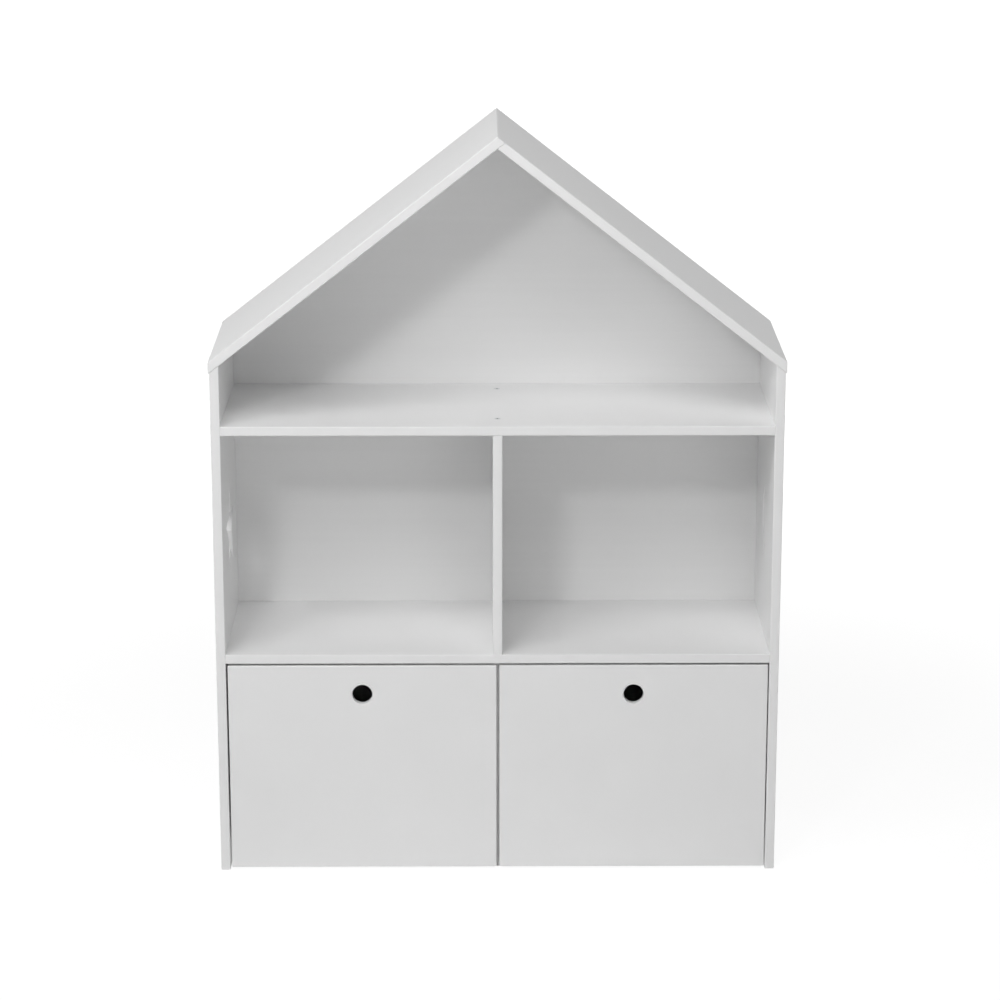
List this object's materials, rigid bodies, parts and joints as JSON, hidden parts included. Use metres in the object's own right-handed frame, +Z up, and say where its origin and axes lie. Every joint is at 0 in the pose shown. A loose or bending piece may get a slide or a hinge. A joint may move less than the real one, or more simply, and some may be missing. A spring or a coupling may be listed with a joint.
{
  "type": "house-shaped bookcase",
  "caption": "House-shaped bookcase with a pitched roof, open shelves, star and crescent cut-outs in its sides, and open storage bins that roll out below.",
  "frame": {"origin": "on the floor, at the middle of the bookcase's width and depth", "axes": "+X to the right seen from the front, +Y to the back, +Z up; the open front faces -Y"},
  "size_m": [0.904, 0.3, 1.2006],
  "materials": {
    "white_board": "smooth satin white lacquer on fibreboard",
    "back_board": "thin hardboard with a white satin face",
    "beech": "plain unfinished beech",
    "zinc_steel": "bright zinc-plated steel",
    "castor_plastic": "matt moulded grey plastic"
  },
  "bodies": {
    "carcass": {"side_panel_left": "white_board", "side_panel_right": "white_board", "roof_panel_left": "white_board", "roof_panel_right": "white_board", "upper_shelf": "white_board", "lower_shelf": "white_board", "upper_divider": "white_board", "lower_divider": "white_board", "gable_back_panel": "back_board", "lower_back_panel": "back_board", "shelf_screws": "zinc_steel", "upper_divider_screws": "zinc_steel", "lower_divider_screws": "zinc_steel", "divider_dowels": "beech", "eave_dowels": "beech", "ridge_plates": "zinc_steel", "eave_plates": "zinc_steel", "plate_screws": "zinc_steel", "back_panel_screws": "zinc_steel"},
    "bin_left": {"bin_left_front": "white_board", "bin_left_side_outer": "white_board", "bin_left_side_inner": "white_board", "bin_left_back": "white_board", "bin_left_bottom": "white_board", "bin_left_screws": "zinc_steel", "bin_left_cams": "zinc_steel", "bin_left_cam_bolts": "zinc_steel", "bin_left_forks": "zinc_steel", "bin_left_fork_screws": "zinc_steel", "bin_left_axles": "zinc_steel"},
    "bin_left_wheel_front_outer": {"bin_left_wheel_front_outer": "castor_plastic"},
    "bin_left_wheel_front_inner": {"bin_left_wheel_front_inner": "castor_plastic"},
    "bin_left_wheel_rear_outer": {"bin_left_wheel_rear_outer": "castor_plastic"},
    "bin_left_wheel_rear_inner": {"bin_left_wheel_rear_inner": "castor_plastic"},
    "bin_right": {"bin_right_front": "white_board", "bin_right_side_outer": "white_board", "bin_right_side_inner": "white_board", "bin_right_back": "white_board", "bin_right_bottom": "white_board", "bin_right_screws": "zinc_steel", "bin_right_cams": "zinc_steel", "bin_right_cam_bolts": "zinc_steel", "bin_right_forks": "zinc_steel", "bin_right_fork_screws": "zinc_steel", "bin_right_axles": "zinc_steel"},
    "bin_right_wheel_front_outer": {"bin_right_wheel_front_outer": "castor_plastic"},
    "bin_right_wheel_front_inner": {"bin_right_wheel_front_inner": "castor_plastic"},
    "bin_right_wheel_rear_outer": {"bin_right_wheel_rear_outer": "castor_plastic"},
    "bin_right_wheel_rear_inner": {"bin_right_wheel_rear_inner": "castor_plastic"}
  },
  "joints": [
    {"name": "bin_left_slide", "type": "slide", "parent": "carcass", "child": "bin_left", "axis": [0, -1, 0], "range_m": [0, 0.3]},
    {"name": "bin_left_wheel_front_outer_spin", "type": "hinge", "parent": "bin_left", "child": "bin_left_wheel_front_outer", "pos_m": [-0.3763, -0.098, 0.015], "axis": [1, 0, 0], "continuous": true},
    {"name": "bin_left_wheel_front_inner_spin", "type": "hinge", "parent": "bin_left", "child": "bin_left_wheel_front_inner", "pos_m": [-0.0578, -0.098, 0.015], "axis": [1, 0, 0], "continuous": true},
    {"name": "bin_left_wheel_rear_outer_spin", "type": "hinge", "parent": "bin_left", "child": "bin_left_wheel_rear_outer", "pos_m": [-0.3763, 0.084, 0.015], "axis": [1, 0, 0], "continuous": true},
    {"name": "bin_left_wheel_rear_inner_spin", "type": "hinge", "parent": "bin_left", "child": "bin_left_wheel_rear_inner", "pos_m": [-0.0578, 0.084, 0.015], "axis": [1, 0, 0], "continuous": true},
    {"name": "bin_right_slide", "type": "slide", "parent": "carcass", "child": "bin_right", "axis": [0, -1, 0], "range_m": [0, 0.3]},
    {"name": "bin_right_wheel_front_outer_spin", "type": "hinge", "parent": "bin_right", "child": "bin_right_wheel_front_outer", "pos_m": [0.3773, -0.098, 0.015], "axis": [1, 0, 0], "continuous": true},
    {"name": "bin_right_wheel_front_inner_spin", "type": "hinge", "parent": "bin_right", "child": "bin_right_wheel_front_inner", "pos_m": [0.0588, -0.098, 0.015], "axis": [1, 0, 0], "continuous": true},
    {"name": "bin_right_wheel_rear_outer_spin", "type": "hinge", "parent": "bin_right", "child": "bin_right_wheel_rear_outer", "pos_m": [0.3773, 0.084, 0.015], "axis": [1, 0, 0], "continuous": true},
    {"name": "bin_right_wheel_rear_inner_spin", "type": "hinge", "parent": "bin_right", "child": "bin_right_wheel_rear_inner", "pos_m": [0.0588, 0.084, 0.015], "axis": [1, 0, 0], "continuous": true}
  ],
  "couplings": [
    {"joint": "bin_left_wheel_front_outer_spin", "follows": "bin_left_slide", "rad_per_m": 66.667},
    {"joint": "bin_left_wheel_front_inner_spin", "follows": "bin_left_slide", "rad_per_m": 66.667},
    {"joint": "bin_left_wheel_rear_outer_spin", "follows": "bin_left_slide", "rad_per_m": 66.667},
    {"joint": "bin_left_wheel_rear_inner_spin", "follows": "bin_left_slide", "rad_per_m": 66.667},
    {"joint": "bin_right_wheel_front_outer_spin", "follows": "bin_right_slide", "rad_per_m": 66.667},
    {"joint": "bin_right_wheel_front_inner_spin", "follows": "bin_right_slide", "rad_per_m": 66.667},
    {"joint": "bin_right_wheel_rear_outer_spin", "follows": "bin_right_slide", "rad_per_m": 66.667},
    {"joint": "bin_right_wheel_rear_inner_spin", "follows": "bin_right_slide", "rad_per_m": 66.667}
  ]
}
